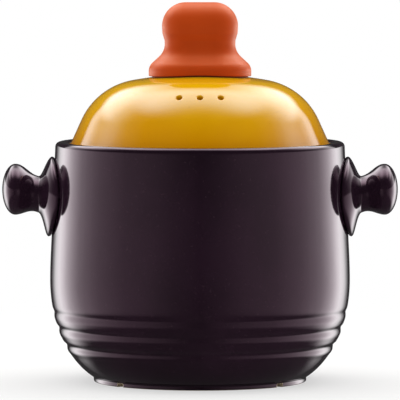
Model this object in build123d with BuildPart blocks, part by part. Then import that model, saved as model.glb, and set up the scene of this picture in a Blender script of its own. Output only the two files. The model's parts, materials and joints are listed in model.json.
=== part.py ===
from build123d import *
from math import asin, atan2, cos, degrees, pi, radians, sin, sqrt, tan
import os

# A clay cooking pot with a domed lid. The origin is on the table under the middle of
# the pot, +Z points up, and the two handles lie along X. All sizes are in millimetres.

# Pot, outside
pot_height = 160.0
belly_radius = 100.1
belly_height = 67.7
belly_curve_width = 47.0
belly_curve_sink = 2.3
rim_narrowing = 3.7
rim_lean = 2.6
rim_outer_rounding = 3.2
rim_inner_rounding = 2.0
upper_wall_shares = (0.27, 0.31)

# Pot, inside
pot_wall = 7.0
pot_floor = 8.0
floor_rounding = 14.0
lip_width = 7.8
gallery_depth = 6.0
ledge_width = 7.5
ledge_thickness = 7.0
ledge_rounding = 2.0
shoulder_rounding = 7.0

# Foot ring and its drain notches
foot_height = 3.0
foot_width = 11.0
foot_rounding = 1.0
notch_width = 5.0
notch_depth = 2.4
notch_angle = 42.0

# Turned bands on the lower wall: where the grooves between them lie, as shares of the
# height of the belly
groove_height_shares = (0.693, 0.535, 0.362)
groove_radius = 2.2
groove_depth = 1.1
groove_edge_rounding = 0.8

# Handles: a pad on the wall, a neck and an end to grip, all with oval sections
handle_drop = 36.6
handle_length = 34.1
handle_rise = 4.8
handle_breadth_share = 1.2
pad_half_height = 26.6
pad_thickness = 2.0
neck_half_height = 12.2
grip_half_height = 17.0
flare_end_share = 0.293
neck_end_share = 0.33
grip_start_share = 0.74
grip_end_share = 0.745
rise_start_share = 0.05
rise_end_share = 0.70
flare_shares = (0.06, 0.10, 0.14, 0.18, 0.22, 0.255, 0.293)
neck_shares = (0.33, 0.41, 0.50, 0.58, 0.66, 0.74)
tip_angles = (0, 25, 45, 60, 72, 81)

# Lid
lid_rise = 46.5
lid_wall = 6.0
crown_drop = 9.7
crown_width_share = 0.807
crown_rounding = 46.0
dome_inset = 2.2
flange_thickness = 4.5
flange_clearance = 0.6
flange_rounding = 1.2
skirt_clearance = 1.2
skirt_thickness = 4.0
skirt_depth = 9.0
skirt_rounding = 1.2
steam_hole_radius = 2.0
steam_hole_count = 3
steam_hole_step_angle = 12.0
steam_hole_lean_angle = 38.0

# Knob: one turned outline, stretched along X between two centres
knob_rise = 48.0
knob_stretch = 9.5
knob_crown_drop = 10.5
knob_crown_radius = 14.9
knob_crown_rounding = 8.0
knob_waist_radius = 13.8
knob_waist_rise = 15.5
knob_waist_rounding = 6.0
knob_brim_radius = 24.7
knob_brim_rise = 5.4
knob_brim_rounding = 2.2
seat_gasket_thickness = 1.0
seat_gasket_inset = 2.2

# Fastener that holds the knob
screw_radius = 2.5
screw_clearance = 0.6
screw_head_radius = 4.8
screw_head_height = 3.0
screw_head_rounding = 1.4
screw_tip_chamfer = 0.6
screw_recess_width = 1.2
screw_recess_depth = 1.6
screw_engagement = 9.0
insert_radius = 4.2
insert_length = 12.0
insert_flange_radius = 5.4
insert_flange_thickness = 1.2
insert_groove_width = 1.4
insert_groove_depth = 0.5
insert_groove_shares = (0.35, 0.65)
thread_clearance = 0.05
washer_clearance = 0.3
washer_radius = 7.5
washer_thickness = 1.0
under_gasket_radius = 9.0
under_gasket_thickness = 1.5
screw_pad_margin = 2.0
screw_pad_depth = 1.0

# How far a cutting shape runs past what it cuts
overrun = 5.0

# Worked out from the sizes above: the pot, whose lower curve would end below the table
belly_curve_drop = belly_height + belly_curve_sink
rim_radius = belly_radius - rim_narrowing
foot_angle = degrees(asin((belly_height - foot_height) / belly_curve_drop))
foot_radius = belly_radius - belly_curve_width * (1 - cos(radians(foot_angle)))
gallery_radius = rim_radius - lip_width
mouth_radius = gallery_radius - ledge_width
ledge_height = pot_height - gallery_depth
ledge_underside = ledge_height - ledge_thickness
floor_height = foot_height + pot_floor
inner_rim_radius = rim_radius - pot_wall
shoulder_height = ledge_underside - (inner_rim_radius - mouth_radius)
handle_height = pot_height - handle_drop

# Worked out: the lid, which rests on the pot's ledge
dome_base_height = ledge_height + flange_thickness
dome_base_radius = gallery_radius - dome_inset
lid_top = dome_base_height + lid_rise
crown_corner_height = lid_top - crown_drop
crown_corner_radius = crown_width_share * dome_base_radius
flange_radius = gallery_radius - flange_clearance
skirt_radius = mouth_radius - skirt_clearance
skirt_inner_radius = skirt_radius - skirt_thickness
skirt_bottom = ledge_height - skirt_depth
dome_lean = atan2(dome_base_radius - crown_corner_radius, crown_corner_height - dome_base_height)
dome_inner_base_radius = dome_base_radius - lid_wall / cos(dome_lean)
gusset_height = dome_base_height + (dome_inner_base_radius - skirt_inner_radius) / tan(dome_lean)
crown_radius = (crown_corner_radius**2 + crown_drop**2) / (2 * crown_drop)
crown_centre = lid_top - crown_radius

# Worked out: the knob, and the stack of pieces on the screw from the knob's seat down
knob_top = lid_top + knob_rise
knob_crown_height = knob_top - knob_crown_drop
knob_waist_height = lid_top + knob_waist_rise
knob_brim_height = lid_top + knob_brim_rise
knob_seat = lid_top + seat_gasket_thickness
pad_face = lid_top - lid_wall - screw_pad_depth
washer_top = pad_face - under_gasket_thickness
screw_head_top = washer_top - washer_thickness
screw_tip = knob_seat + screw_engagement
screw_hole_radius = screw_radius + screw_clearance


def nearest_corner(shape, radius, height):
    """Return the corner of an outline that lies nearest to a radius and height."""
    return shape.vertices().sort_by_distance((radius, height, 0))[0]


def level_circles(builder, level):
    """Return a part's round edges at one level, 0 the lowest, from small to large."""
    circles = builder.edges().filter_by(GeomType.CIRCLE)
    return circles.group_by(Axis.Z)[level].sort_by(SortBy.RADIUS)


def ease(share):
    """Rise from 0 to 1 along half a cosine wave, and stay level outside it."""
    return (1 - cos(pi * min(max(share, 0), 1))) / 2


def wall_radius(height):
    """Return the radius of the pot's outside at a height on its lower curve."""
    drop = (belly_height - height) / belly_curve_drop
    return belly_radius - belly_curve_width * (1 - sqrt(1 - drop**2))


def upper_wall(inset, top_radius, top_height):
    """Draw the wall from the belly up to the rim, set in by a thickness."""
    narrowing_share, climb_share = upper_wall_shares
    bottom = (belly_radius - inset, belly_height)
    middle = (
        bottom[0] + narrowing_share * (top_radius - bottom[0]),
        bottom[1] + climb_share * (top_height - bottom[1]),
    )
    lean = (-sin(radians(rim_lean)), cos(radians(rim_lean)))
    return Spline(bottom, middle, (top_radius, top_height), tangents=[(0, 1), lean])


# The pot's outside as a filled outline, first plain and then with its grooves
with BuildSketch(Plane.XZ) as plain_outline:
    with BuildLine():
        foot_side = Line((foot_radius, 0), (foot_radius, foot_height))
        EllipticalCenterArc(
            (belly_radius - belly_curve_width, belly_height),
            belly_curve_width,
            belly_curve_drop,
            start_angle=-foot_angle,
            arc_size=foot_angle,
        )
        outside = upper_wall(0, rim_radius, pot_height)
        Polyline(outside @ 1, (0, pot_height), (0, 0), foot_side @ 0)
    make_face()

with BuildSketch(Plane.XZ) as banded_outline:
    add(plain_outline.sketch_local)
    for share in groove_height_shares:
        height = share * belly_height
        with Locations((wall_radius(height) + groove_radius - groove_depth, height)):
            Circle(groove_radius, mode=Mode.SUBTRACT)
        fillet(banded_outline.vertices(Select.LAST), groove_edge_rounding)

# The plain turning shapes the backs of the handles
with BuildPart() as pot_outside:
    add(plain_outline.sketch)
    revolve(axis=Axis.Z)

# The hollow inside: floor, wall, the shoulder under the ledge, mouth and gallery
inner_reach = belly_curve_width - pot_wall
inner_drop = belly_curve_drop - pot_wall
floor_angle = degrees(asin((belly_height - floor_height) / inner_drop))
floor_radius = belly_radius - belly_curve_width + inner_reach * cos(radians(floor_angle))
with BuildPart() as pot_hollow:
    with BuildSketch(Plane.XZ) as hollow_outline:
        with BuildLine():
            Line((0, floor_height), (floor_radius, floor_height))
            EllipticalCenterArc(
                (belly_radius - belly_curve_width, belly_height),
                inner_reach,
                inner_drop,
                start_angle=-floor_angle,
                arc_size=floor_angle,
            )
            upper_wall(pot_wall, inner_rim_radius, shoulder_height)
            Polyline(
                (inner_rim_radius, shoulder_height),
                (mouth_radius, ledge_underside),
                (mouth_radius, ledge_height),
                (gallery_radius, ledge_height),
                (gallery_radius, pot_height + overrun),
                (0, pot_height + overrun),
                (0, floor_height),
            )
        make_face()
        fillet(nearest_corner(hollow_outline, floor_radius, floor_height), floor_rounding)
        fillet(nearest_corner(hollow_outline, inner_rim_radius, shoulder_height), shoulder_rounding)
        fillet(nearest_corner(hollow_outline, mouth_radius, ledge_underside), ledge_rounding)
        fillet(nearest_corner(hollow_outline, mouth_radius, ledge_height), ledge_rounding)
    revolve(axis=Axis.Z)

with BuildPart() as pot_body:
    add(banded_outline.sketch)
    revolve(axis=Axis.Z)
    add(pot_hollow.part, mode=Mode.SUBTRACT)

    # The lip, rounded outside and inside
    fillet(level_circles(pot_body, -1)[-1], rim_outer_rounding)
    fillet(level_circles(pot_body, -1)[0], rim_inner_rounding)

    # The recess that leaves a foot ring, and the ring's rounded outer edge
    with BuildSketch(Plane.XY):
        Circle(foot_radius - foot_width)
    extrude(amount=foot_height, mode=Mode.SUBTRACT)
    fillet(level_circles(pot_body, 0)[-1], foot_rounding)

    # Drain notches through the foot ring, between the handles and the front and back
    with BuildSketch(Plane.XY):
        for angle in (notch_angle, 180 - notch_angle, 180 + notch_angle, -notch_angle):
            with Locations(Rotation(0, 0, angle) * Pos(foot_radius - foot_width / 2)):
                Rectangle(foot_width + 2 * overrun, notch_width)
    extrude(amount=notch_depth, mode=Mode.SUBTRACT)


def handle_half_height(distance):
    """Return half the height of the handle's oval at a distance out from the wall."""
    flare = ease((distance - pad_thickness) / (flare_end_share * handle_length - pad_thickness))
    swell = ease(
        (distance / handle_length - neck_end_share) / (grip_start_share - neck_end_share)
    )
    tip = max(distance / handle_length - grip_end_share, 0) / (1 - grip_end_share)
    body = pad_half_height - flare * (pad_half_height - neck_half_height)
    body += swell * (grip_half_height - neck_half_height)
    return body * sqrt(max(1 - tip**2, 0))


def handle_lift(distance):
    """Return how far the oval's centre lies above the pad's centre."""
    share = (distance / handle_length - rise_start_share) / (rise_end_share - rise_start_share)
    return handle_rise * ease(share)


# The right handle: ovals carried out from inside the wall, then cut to the pot's curve
handle_radius = rim_radius + handle_drop * tan(radians(rim_lean))
pad_half_breadth = pad_half_height * handle_breadth_share
handle_root = handle_radius - sqrt(handle_radius**2 - pad_half_breadth**2) + overrun
oval_distances = [-handle_root, 0]
oval_distances += [share * handle_length for share in flare_shares + neck_shares]
oval_distances += [
    handle_length * (grip_end_share + (1 - grip_end_share) * sin(radians(angle)))
    for angle in tip_angles
]
with BuildPart() as right_handle:
    for distance in oval_distances:
        centre = (handle_radius + distance, 0, handle_height + handle_lift(distance))
        half_height = handle_half_height(distance)
        with BuildSketch(Plane(centre, x_dir=(0, 1, 0), z_dir=(1, 0, 0))):
            Ellipse(half_height * handle_breadth_share, half_height)
    loft()
    add(pot_outside.part, mode=Mode.SUBTRACT)

with BuildPart() as left_handle:
    add(right_handle.part)
    mirror(about=Plane.YZ, mode=Mode.REPLACE)

# The dome as a filled turning, with its rounded shoulder
with BuildPart() as lid:
    with BuildSketch(Plane.XZ) as dome_outline:
        with BuildLine():
            crown = TangentArc(
                (0, lid_top), (crown_corner_radius, crown_corner_height), tangent=(1, 0)
            )
            Polyline(
                crown @ 1,
                (dome_base_radius, dome_base_height),
                (0, dome_base_height),
                (0, lid_top),
            )
        make_face()
        fillet(
            nearest_corner(dome_outline, crown_corner_radius, crown_corner_height), crown_rounding
        )
    shoulder_arc = dome_outline.edges().filter_by(GeomType.CIRCLE).sort_by(SortBy.RADIUS)[0]
    revolve(axis=Axis.Z)
    offset(amount=-lid_wall, openings=lid.faces().sort_by(Axis.Z)[0])

    # Flange on the ledge, and the skirt that centres the lid in the mouth
    with BuildSketch(Plane.XZ) as lid_ring:
        with BuildLine():
            Polyline(
                (skirt_inner_radius, skirt_bottom),
                (skirt_radius, skirt_bottom),
                (skirt_radius, ledge_height),
                (flange_radius, ledge_height),
                (flange_radius, dome_base_height),
                (dome_base_radius, dome_base_height),
                (skirt_inner_radius + lid_wall / 2, gusset_height),
                (skirt_inner_radius, gusset_height),
                close=True,
            )
        make_face()
        fillet(nearest_corner(lid_ring, skirt_inner_radius, skirt_bottom), skirt_rounding)
        fillet(nearest_corner(lid_ring, skirt_radius, skirt_bottom), skirt_rounding)
        fillet(nearest_corner(lid_ring, flange_radius, ledge_height), flange_rounding)
        fillet(nearest_corner(lid_ring, flange_radius, dome_base_height), flange_rounding)
    revolve(axis=Axis.Z)

    # Flat pad under the crown, and the hole for the knob's screw
    with BuildSketch(Plane.XY.offset(pad_face)):
        Circle(under_gasket_radius + screw_pad_margin)
    extrude(amount=screw_pad_depth + lid_wall / 2)
    with BuildSketch(Plane.XY.offset(pad_face)):
        Circle(screw_hole_radius)
    extrude(amount=lid_wall + 2 * overrun, mode=Mode.SUBTRACT)

    # Steam holes, square to the rounded shoulder at the front
    hole_lean = radians(steam_hole_lean_angle)
    hole_reach = shoulder_arc.arc_center.X + crown_rounding * sin(hole_lean)
    hole_height = shoulder_arc.arc_center.Y + crown_rounding * cos(hole_lean)
    for place in range(steam_hole_count):
        turn = radians((place - (steam_hole_count - 1) / 2) * steam_hole_step_angle - 90)
        mouth = Plane(
            (hole_reach * cos(turn), hole_reach * sin(turn), hole_height),
            z_dir=(sin(hole_lean) * cos(turn), sin(hole_lean) * sin(turn), cos(hole_lean)),
        )
        with BuildSketch(mouth):
            Circle(steam_hole_radius)
        extrude(amount=lid_wall + overrun, both=True, mode=Mode.SUBTRACT)

# The knob's turned outline, used for both ends and for the stretch between them
with BuildSketch(Plane.YZ) as knob_outline:
    with BuildLine():
        knob_crown = TangentArc(
            (0, knob_top), (knob_crown_radius, knob_crown_height), tangent=(1, 0)
        )
        Polyline(
            knob_crown @ 1,
            (knob_waist_radius, knob_waist_height),
            (knob_brim_radius, knob_brim_height),
            (knob_brim_radius, crown_centre),
            (0, crown_centre),
            (0, knob_top),
        )
    make_face()
    fillet(nearest_corner(knob_outline, knob_crown_radius, knob_crown_height), knob_crown_rounding)
    fillet(nearest_corner(knob_outline, knob_waist_radius, knob_waist_height), knob_waist_rounding)
    fillet(nearest_corner(knob_outline, knob_brim_radius, knob_brim_height), knob_brim_rounding)

with BuildPart() as knob_end:
    add(knob_outline.sketch)
    revolve(axis=Axis.Z)

with BuildPart() as lid_knob:
    with BuildSketch(Plane.YZ):
        add(knob_outline.sketch_local)
        mirror(about=Plane.YZ)
    extrude(amount=knob_stretch, both=True)
    with Locations((knob_stretch, 0, 0), (-knob_stretch, 0, 0)):
        add(knob_end.part)
    with Locations((0, 0, crown_centre)):
        Sphere(crown_radius + seat_gasket_thickness, mode=Mode.SUBTRACT)

    # The blind hole that holds the insert and its flange
    with BuildSketch(Plane.XY.offset(knob_seat - overrun)):
        Circle(insert_radius)
    extrude(amount=insert_length + overrun, mode=Mode.SUBTRACT)
    with BuildSketch(Plane.XY.offset(knob_seat - overrun)):
        Circle(insert_flange_radius)
    extrude(amount=insert_flange_thickness + overrun, mode=Mode.SUBTRACT)

# Soft seat between the knob and the glaze, curved like the crown
with BuildPart() as seat_gasket:
    with BuildSketch(Plane.XY.offset(crown_centre)):
        SlotCenterToCenter(2 * knob_stretch, 2 * (knob_brim_radius - seat_gasket_inset))
        Circle(screw_hole_radius, mode=Mode.SUBTRACT)
    extrude(amount=crown_radius + overrun)
    with Locations((0, 0, crown_centre)):
        Sphere(crown_radius + seat_gasket_thickness, mode=Mode.INTERSECT)
        Sphere(crown_radius, mode=Mode.SUBTRACT)

# Brass insert, moulded into the knob, with grooves that lock it
with BuildPart() as knob_insert:
    with BuildSketch(Plane.XY.offset(knob_seat)):
        Circle(insert_radius)
    extrude(amount=insert_length)
    with BuildSketch(Plane.XY.offset(knob_seat)):
        Circle(insert_flange_radius)
    extrude(amount=insert_flange_thickness)
    for share in insert_groove_shares:
        with BuildSketch(Plane.XY.offset(knob_seat + share * insert_length)):
            Circle(insert_radius)
            Circle(insert_radius - insert_groove_depth, mode=Mode.SUBTRACT)
        extrude(amount=insert_groove_width, mode=Mode.SUBTRACT)
    with BuildSketch(Plane.XY.offset(knob_seat)):
        Circle(screw_radius + thread_clearance)
    extrude(amount=insert_length, mode=Mode.SUBTRACT)

# Pan-head screw with a cross recess, up through the lid into the insert
with BuildPart() as knob_screw:
    with BuildSketch(Plane.XY.offset(screw_head_top - screw_head_height)):
        Circle(screw_head_radius)
    extrude(amount=screw_head_height)
    fillet(level_circles(knob_screw, 0), screw_head_rounding)
    with BuildSketch(Plane.XY.offset(screw_head_top)):
        Circle(screw_radius)
    extrude(amount=screw_tip - screw_head_top)
    chamfer(level_circles(knob_screw, -1), screw_tip_chamfer)
    with BuildSketch(Plane.XY.offset(screw_head_top - screw_head_height)):
        Rectangle(2 * screw_radius, screw_recess_width)
        Rectangle(screw_recess_width, 2 * screw_radius)
    extrude(amount=screw_recess_depth, mode=Mode.SUBTRACT)

with BuildPart() as screw_washer:
    with BuildSketch(Plane.XY.offset(screw_head_top)):
        Circle(washer_radius)
        Circle(screw_radius + washer_clearance, mode=Mode.SUBTRACT)
    extrude(amount=washer_thickness)

with BuildPart() as under_gasket:
    with BuildSketch(Plane.XY.offset(washer_top)):
        Circle(under_gasket_radius)
        Circle(screw_radius + washer_clearance, mode=Mode.SUBTRACT)
    extrude(amount=under_gasket_thickness)

pieces = {
    "pot_body": pot_body,
    "left_handle": left_handle,
    "right_handle": right_handle,
    "lid": lid,
    "lid_knob": lid_knob,
    "seat_gasket": seat_gasket,
    "knob_insert": knob_insert,
    "knob_screw": knob_screw,
    "screw_washer": screw_washer,
    "under_gasket": under_gasket,
}
os.makedirs("parts", exist_ok=True)
for name, piece in pieces.items():
    piece.part.label = name
    export_step(piece.part, f"parts/{name}.step")
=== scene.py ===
"""Looks of a lidded clay cooking pot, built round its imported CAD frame.

Lengths in the classes are millimetres, as in the part's own model. Meshes are written in
metres. The pot stands on the floor at z = 0, with its two handles along X and the steam
holes towards -Y, where the camera stands.
"""

import json
import logging
from dataclasses import dataclass, field
from enum import Enum
from typing import Callable, Sequence

import bmesh
import bpy
import numpy as np
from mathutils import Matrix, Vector

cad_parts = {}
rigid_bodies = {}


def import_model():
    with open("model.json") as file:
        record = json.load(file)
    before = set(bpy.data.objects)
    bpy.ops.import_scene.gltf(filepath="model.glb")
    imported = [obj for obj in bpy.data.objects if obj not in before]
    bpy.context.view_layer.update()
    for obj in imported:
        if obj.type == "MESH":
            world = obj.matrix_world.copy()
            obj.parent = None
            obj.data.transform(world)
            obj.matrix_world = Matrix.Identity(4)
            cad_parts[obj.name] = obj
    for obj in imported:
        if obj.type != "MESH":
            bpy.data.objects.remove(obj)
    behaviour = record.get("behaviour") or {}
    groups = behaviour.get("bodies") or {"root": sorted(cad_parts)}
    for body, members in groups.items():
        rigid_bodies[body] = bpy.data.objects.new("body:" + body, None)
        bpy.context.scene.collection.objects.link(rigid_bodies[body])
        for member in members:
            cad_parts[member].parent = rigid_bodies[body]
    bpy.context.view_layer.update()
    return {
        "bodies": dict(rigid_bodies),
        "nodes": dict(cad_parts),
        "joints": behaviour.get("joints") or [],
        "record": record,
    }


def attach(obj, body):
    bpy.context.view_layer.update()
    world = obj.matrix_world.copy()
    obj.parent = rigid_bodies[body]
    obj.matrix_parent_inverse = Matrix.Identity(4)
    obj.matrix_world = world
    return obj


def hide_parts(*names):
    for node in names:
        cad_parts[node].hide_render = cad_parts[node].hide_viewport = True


LOG = logging.getLogger("sand_pot")
METRES_PER_MM = 0.001
WELD_DISTANCE = 2e-6

# A rounded corner: how far its curve's handles reach towards the corner, and its points
ARC_HANDLE = 0.6
ARC_POINTS = 9
SAME_POINT = 1e-6

# The wave texture runs through this many radians in a unit of length
WAVE_RADIANS = 20

# Angles in degrees from straight behind the pot, and how bright the studio is there
Levels = tuple[tuple[float, float], ...]


# Colour and node helpers


def linear(colour: str) -> tuple[float, float, float, float]:
    """Turn an sRGB hex colour into linear red, green, blue and alpha.

    Args:
        colour: six hex digits with a leading hash.

    Returns:
        The linear colour, with alpha 1.
    """
    shares = np.array([int(colour[k : k + 2], 16) for k in (1, 3, 5)]) / 255
    light = np.where(shares <= 0.04045, shares / 12.92, ((shares + 0.055) / 1.055) ** 2.4)
    return (*(float(value) for value in light), 1.0)


def per_metre(size: float) -> float:
    """Return the texture scale at which a pattern repeats about every `size` millimetres."""
    return 1 / (size * METRES_PER_MM)


def add_node(
    tree: bpy.types.NodeTree, kind: str, inputs: dict | None = None, **settings
) -> bpy.types.Node:
    """Add one node, with its settings, and fill or link its inputs.

    Args:
        tree: the node tree that gets the node.
        kind: the node's type name.
        inputs: for each input, by name or number, a value or the output that feeds it.
        **settings: the node's own properties.

    Returns:
        The new node.
    """
    made = tree.nodes.new(kind)
    for name, value in settings.items():
        setattr(made, name, value)
    for key, value in (inputs or {}).items():
        if isinstance(value, bpy.types.NodeSocket):
            tree.links.new(value, made.inputs[key])
        else:
            made.inputs[key].default_value = value
    return made


def new_material(name: str) -> tuple[bpy.types.Material, bpy.types.NodeTree]:
    """Make an empty node material.

    Args:
        name: the material's name.

    Returns:
        The material and its cleared node tree.
    """
    material = bpy.data.materials.new(name)
    material.use_nodes = True
    material.node_tree.nodes.clear()
    return material, material.node_tree


# Outline helpers: an outline is an array of (radius, height) rows


def resampled(points: np.ndarray, step: float, cut_start: float = 0, cut_end: float = 0) -> np.ndarray:
    """Space points evenly along a polyline, after cutting its ends back.

    The new points lie at equal steps of the length walked along the old ones.

    Args:
        points: the polyline's points, one a row.
        step: the longest spacing wanted.
        cut_start: the length left off at the start.
        cut_end: the length left off at the end.

    Returns:
        The new points.
    """
    walked = np.r_[0, np.cumsum(np.linalg.norm(np.diff(points, axis=0), axis=1))]
    length = walked[-1] - cut_start - cut_end
    count = max(int(np.ceil(length / step)), 1) + 1
    places = cut_start + np.linspace(0, length, count)
    return np.stack([np.interp(places, walked, column) for column in points.T], axis=1)


def joined(stretches: Sequence[Sequence], cuts: Sequence[float], step: float) -> np.ndarray:
    """Join stretches end to end and round the corners between them.

    Each corner becomes a cubic curve that leaves both stretches `cut` before the corner
    and has its handles 0.6 of the way to it, which is close to a circular arc.

    Args:
        stretches: polylines, each starting where the one before it ends.
        cuts: how far each corner is cut back, 0 for a sharp one.
        step: the longest spacing of the points.

    Returns:
        One polyline with no repeated point.
    """
    cuts = [0, *cuts, 0]
    runs = []
    for place, stretch in enumerate(stretches):
        points = np.asarray(stretch, float)
        runs.append(resampled(points, step, cuts[place], cuts[place + 1]))
        if place + 1 < len(stretches) and cuts[place + 1] > 0:
            corner = points[-1]
            start = runs[-1][-1]
            following = np.asarray(stretches[place + 1], float)
            end = resampled(following, step, cuts[place + 1], 0)[0]
            share = np.linspace(0, 1, ARC_POINTS)[1:-1, None]
            first_handle = start + ARC_HANDLE * (corner - start)
            second_handle = end + ARC_HANDLE * (corner - end)
            curve = (1 - share) ** 3 * start + 3 * (1 - share) ** 2 * share * first_handle
            curve += 3 * (1 - share) * share**2 * second_handle + share**3 * end
            runs.append(curve)
    points = np.vstack(runs)
    kept = np.r_[True, np.linalg.norm(np.diff(points, axis=0), axis=1) > SAME_POINT]
    return points[kept]


def legs(*corners: Sequence[float]) -> list[list]:
    """Return the straight stretches from corner to corner, as `joined` takes them."""
    return [list(leg) for leg in zip(corners[:-1], corners[1:])]


def hermite(
    ends: Sequence[float], slopes: Sequence[float], span: float, share: np.ndarray
) -> np.ndarray:
    """Blend two end values and two end slopes by the cubic Hermite weights.

    Args:
        ends: the values at the start and at the end.
        slopes: the slopes at the start and at the end.
        span: the length from start to end.
        share: places between them, from 0 to 1.

    Returns:
        The value at each place.
    """
    value = (2 * share**3 - 3 * share**2 + 1) * ends[0] + (3 * share**2 - 2 * share**3) * ends[1]
    value += span * (share**3 - 2 * share**2 + share) * slopes[0]
    return value + span * (share**3 - share**2) * slopes[1]


def ease(share: np.ndarray | float) -> np.ndarray:
    """Rise from 0 to 1 along half a cosine wave, and stay level outside it."""
    return (1 - np.cos(np.pi * np.clip(share, 0, 1))) / 2


@dataclass(frozen=True)
class Crown:
    """A domed top: a flat arc, a tighter rounded shoulder and a straight side.

    Its fields are radii and heights, and its methods measure along the outline from the
    axis.
    """

    top: float
    corner_radius: float
    corner_drop: float
    rounding: float
    foot_radius: float
    foot_height: float

    @property
    def arc_radius(self) -> float:
        """Radius of the flat arc, from its half width and its drop."""
        return (self.corner_radius**2 + self.corner_drop**2) / (2 * self.corner_drop)

    @property
    def side_lean(self) -> float:
        """Angle of the side's normal away from straight up.

        Returns:
            The angle in radians.
        """
        run = self.foot_radius - self.corner_radius
        fall = self.top - self.corner_drop - self.foot_height
        return float(np.arctan2(fall, run))

    @property
    def shoulder_centre(self) -> np.ndarray:
        """Centre of the rounded shoulder.

        It lies at the rounding's distance inside the side, and at the arc's radius less
        the rounding from the arc's centre: the meeting of a line and a circle.

        Returns:
            Its radius and height.
        """
        arc_centre = np.array([0, self.top - self.arc_radius])
        normal = np.array([np.sin(self.side_lean), np.cos(self.side_lean)])
        along = np.array([normal[1], -normal[0]])
        foot = np.array([self.foot_radius, self.foot_height]) - self.rounding * normal
        offset = foot - arc_centre
        half = offset @ along
        reach = half**2 - offset @ offset + (self.arc_radius - self.rounding) ** 2
        near, far = -half - np.sqrt(reach), -half + np.sqrt(reach)
        return foot + (far if abs(far) < abs(near) else near) * along

    @property
    def shoulder_lean(self) -> float:
        """Angle of the normal where the arc passes into the shoulder."""
        centre = self.shoulder_centre
        return float(np.arctan2(centre[0], centre[1] - self.top + self.arc_radius))

    def length_at_lean(self, lean: float) -> float:
        """Return the length along the outline at which the normal has a lean."""
        return self.arc_radius * self.shoulder_lean + self.rounding * (lean - self.shoulder_lean)

    @property
    def side_start(self) -> float:
        """Length along the outline at which the straight side starts."""
        return self.length_at_lean(self.side_lean)

    @property
    def full_length(self) -> float:
        """Length of the whole outline.

        Returns:
            The length from the axis down to the foot.
        """
        centre = self.shoulder_centre
        normal = np.array([np.sin(self.side_lean), np.cos(self.side_lean)])
        start = centre + self.rounding * normal
        foot = np.array([self.foot_radius, self.foot_height])
        return self.side_start + float(np.linalg.norm(foot - start))

    def at(self, length: np.ndarray, depth: float | np.ndarray = 0) -> np.ndarray:
        """Find points on the outline, or under it.

        On the arc and on the shoulder the point is the centre plus the radius times
        (sin lean, cos lean), and the side runs on straight.

        Args:
            length: lengths along the outline from the axis.
            depth: how far under the outline, along its normal.

        Returns:
            Radius and height, in the last axis.
        """
        length = np.asarray(length, float)
        arc_end = self.arc_radius * self.shoulder_lean
        lean = np.where(
            length < arc_end,
            length / self.arc_radius,
            self.shoulder_lean + (length - arc_end) / self.rounding,
        )
        lean = np.minimum(lean, self.side_lean)
        centre = self.shoulder_centre
        on_arc = length < arc_end
        radius = np.where(on_arc, self.arc_radius, self.rounding) - depth
        across = np.where(on_arc, 0, centre[0]) + radius * np.sin(lean)
        height = np.where(on_arc, self.top - self.arc_radius, centre[1]) + radius * np.cos(lean)
        beyond = np.maximum(length - self.side_start, 0)
        across = across + beyond * np.cos(lean)
        height = height - beyond * np.sin(lean)
        return np.stack([across, height], axis=-1)


# Mesh helpers


def turned(outline: np.ndarray, angles: np.ndarray) -> np.ndarray:
    """Turn an outline about Z: x = radius cos, y = radius sin, z = height.

    Args:
        outline: radius and height of each point.
        angles: the angles to turn it to, in radians.

    Returns:
        A grid of points, a row for each of the outline's and a column for each angle.
    """
    radius, height = outline[:, :1], outline[:, 1:]
    return np.stack(
        [radius * np.cos(angles), radius * np.sin(angles), height + 0 * angles], axis=-1
    )


def grid_faces(rows: int, columns: int, closed_rows: bool = False) -> np.ndarray:
    """List the quads of a grid whose columns close round.

    Args:
        rows: number of rows of points.
        columns: number of points in a row.
        closed_rows: whether the last row joins the first.

    Returns:
        Four point numbers a face, shaped (rows, columns, 4) before the last axis is flat.
    """
    row, column = np.meshgrid(
        np.arange(rows if closed_rows else rows - 1), np.arange(columns), indexing="ij"
    )
    next_row, next_column = (row + 1) % rows, (column + 1) % columns
    corners = [
        row * columns + column,
        row * columns + next_column,
        next_row * columns + next_column,
        next_row * columns + column,
    ]
    return np.stack(corners, axis=-1)


def make_piece(name: str, points: np.ndarray, faces: np.ndarray) -> bpy.types.Object:
    """Make a closed, smooth, outward-facing mesh object from points in millimetres.

    Doubled points at seams and poles are merged, and then the normals are worked out.

    Args:
        name: the object's name.
        points: the points, any shape with x, y, z last.
        faces: four point numbers a face.

    Returns:
        The object, at the origin.
    """
    mesh = bpy.data.meshes.new(name)
    mesh.from_pydata(
        (points.reshape(-1, 3) * METRES_PER_MM).tolist(), [], faces.reshape(-1, 4).tolist()
    )
    work = bmesh.new()
    work.from_mesh(mesh)
    bmesh.ops.remove_doubles(work, verts=work.verts, dist=WELD_DISTANCE)
    loose = [vertex for vertex in work.verts if not vertex.link_faces]
    bmesh.ops.delete(work, geom=loose, context="VERTS")
    bmesh.ops.recalc_face_normals(work, faces=work.faces)
    for face in work.faces:
        face.smooth = True
    work.to_mesh(mesh)
    work.free()
    made = bpy.data.objects.new(name, mesh)
    bpy.context.scene.collection.objects.link(made)
    return made


def paint_mask(
    piece: bpy.types.Object, name: str, formula: Callable[[np.ndarray], np.ndarray]
) -> None:
    """Write a value from 0 to 1 to each point of a piece.

    Args:
        piece: the piece.
        name: the attribute's name.
        formula: gives the values from points in millimetres.
    """
    flat = np.empty(len(piece.data.vertices) * 3, np.float32)
    piece.data.vertices.foreach_get("co", flat)
    values = formula(flat.reshape(-1, 3) / METRES_PER_MM).astype(np.float32)
    piece.data.attributes.new(name, "FLOAT", "POINT").data.foreach_set("value", values)


# Finishes


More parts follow.
